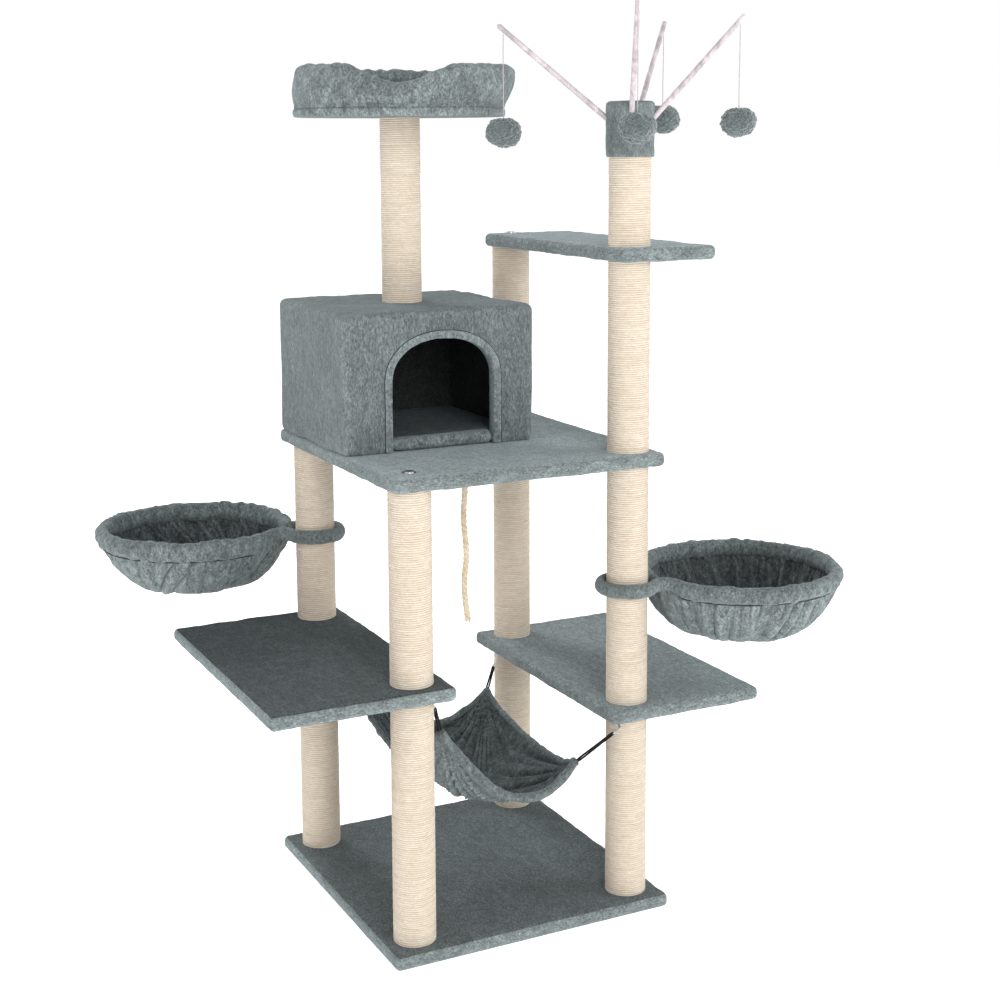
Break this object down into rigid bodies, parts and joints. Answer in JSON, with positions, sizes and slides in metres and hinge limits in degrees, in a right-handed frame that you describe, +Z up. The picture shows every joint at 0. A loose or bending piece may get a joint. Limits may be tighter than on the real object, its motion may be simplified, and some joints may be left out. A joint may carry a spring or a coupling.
{
  "type": "cat tree",
  "caption": "Free-standing cat tree: sisal-wound posts carry plush-covered shelves, a house, a round bed, swivelling baskets, a hammock, a rope and dangling balls.",
  "frame": {"origin": "centre of the base's underside, on the floor", "axes": "+X right along the base's front edge, +Y to the back, +Z up along the posts"},
  "size_m": [1.2811, 1.0243, 1.6938],
  "materials": {
    "plush": "short-pile grey-green plush",
    "plush_trim": "short-pile grey-green plush band",
    "pompom": "plush ball",
    "sisal": "wound natural sisal rope",
    "rope": "three-strand twisted sisal",
    "chipboard": "raw chipboard",
    "cardboard": "spiral-wound cardboard",
    "plug_plastic": "moulded",
    "steel": "zinc-plated steel",
    "elastic": "braided black elastic cord",
    "string": "thin white cord",
    "white_plastic": "white sticks"
  },
  "bodies": {
    "tower": {"base_board": "chipboard", "base_cover": "plush", "left_shelf_board": "chipboard", "left_shelf_cover": "plush", "right_shelf_board": "chipboard", "right_shelf_cover": "plush", "deck_board": "chipboard", "deck_cover": "plush", "upper_shelf_board": "chipboard", "upper_shelf_cover": "plush", "rear_left_sisal_lower": "sisal", "rear_left_sisal_upper": "sisal", "front_left_sisal_lower": "sisal", "front_left_sisal_upper": "sisal", "front_right_sisal_lower": "sisal", "front_right_sisal_middle": "sisal", "front_right_sisal_upper": "sisal", "front_right_sisal_top": "sisal", "rear_right_sisal_lower": "sisal", "rear_right_sisal_middle": "sisal", "rear_right_sisal_upper": "sisal", "bed_post_sisal": "sisal", "post_tubes": "cardboard", "post_plugs": "plug_plastic", "post_studs": "steel", "post_bolts": "steel", "bolt_washers": "steel", "house_floor": "chipboard", "house_left_wall": "chipboard", "house_right_wall": "chipboard", "house_back_wall": "chipboard", "house_front_wall": "chipboard", "house_roof": "chipboard", "house_cover": "plush", "door_binding": "plush_trim", "bed_board": "chipboard", "bed_bolster": "plush", "hammock_hooks": "steel", "hammock_screw_eyes": "steel", "toy_block": "chipboard", "toy_block_cover": "plush", "toy_sticks": "white_plastic", "rope_clamp": "steel"},
    "left_basket": {"left_basket_wire": "steel", "left_basket_sleeve": "plush_trim", "left_basket_bowl": "plush"},
    "right_basket": {"right_basket_wire": "steel", "right_basket_sleeve": "plush_trim", "right_basket_bowl": "plush"},
    "hammock": {"hammock_cloth": "plush", "hammock_elastics": "elastic"},
    "hanging_rope": {"climbing_rope": "rope"},
    "dangling_ball_1": {"toy_string_1": "string", "toy_ball_1": "pompom"},
    "dangling_ball_2": {"toy_string_2": "string", "toy_ball_2": "pompom"},
    "dangling_ball_3": {"toy_string_3": "string", "toy_ball_3": "pompom"},
    "dangling_ball_4": {"toy_string_4": "string", "toy_ball_4": "pompom"}
  },
  "joints": [
    {"name": "left_basket_swivel", "type": "hinge", "parent": "tower", "child": "left_basket", "pos_m": [-0.22, 0.235, 0.674], "axis": [0, 0, 1], "range_deg": [-100, 105]},
    {"name": "right_basket_swivel", "type": "hinge", "parent": "tower", "child": "right_basket", "pos_m": [0.22, -0.235, 0.623], "axis": [0, 0, 1], "range_deg": [-140, 65]},
    {"name": "hammock_bounce", "type": "slide", "parent": "tower", "child": "hammock", "axis": [0, 0, -1], "range_m": [0, 0.05], "stiffness_N_per_m": 1000, "springref_m": -0.005, "deforming": ["hammock_elastics"]},
    {"name": "rope_swing", "type": "hinge", "parent": "tower", "child": "hanging_rope", "pos_m": [0, 0, 0.849], "axis": [1, 0, 0], "range_deg": [-30, 30]},
    {"name": "ball_1_swing", "type": "hinge", "parent": "tower", "child": "dangling_ball_1", "pos_m": [0.0183, -0.1311, 1.6392], "axis": [-0.889, 0.4579, 0], "range_deg": [-3, 30]},
    {"name": "ball_2_swing", "type": "hinge", "parent": "tower", "child": "dangling_ball_2", "pos_m": [0.3925, -0.3238, 1.654], "axis": [0.889, -0.4579, 0], "range_deg": [-30, 30]},
    {"name": "ball_3_swing", "type": "hinge", "parent": "tower", "child": "dangling_ball_3", "pos_m": [0.1279, -0.4096, 1.6807], "axis": [-0.4664, -0.8846, 0], "range_deg": [-30, 30]},
    {"name": "ball_4_swing", "type": "hinge", "parent": "tower", "child": "dangling_ball_4", "pos_m": [0.3668, -0.1113, 1.6551], "axis": [0.7649, 0.6441, 0], "range_deg": [-30, 30]}
  ]
}
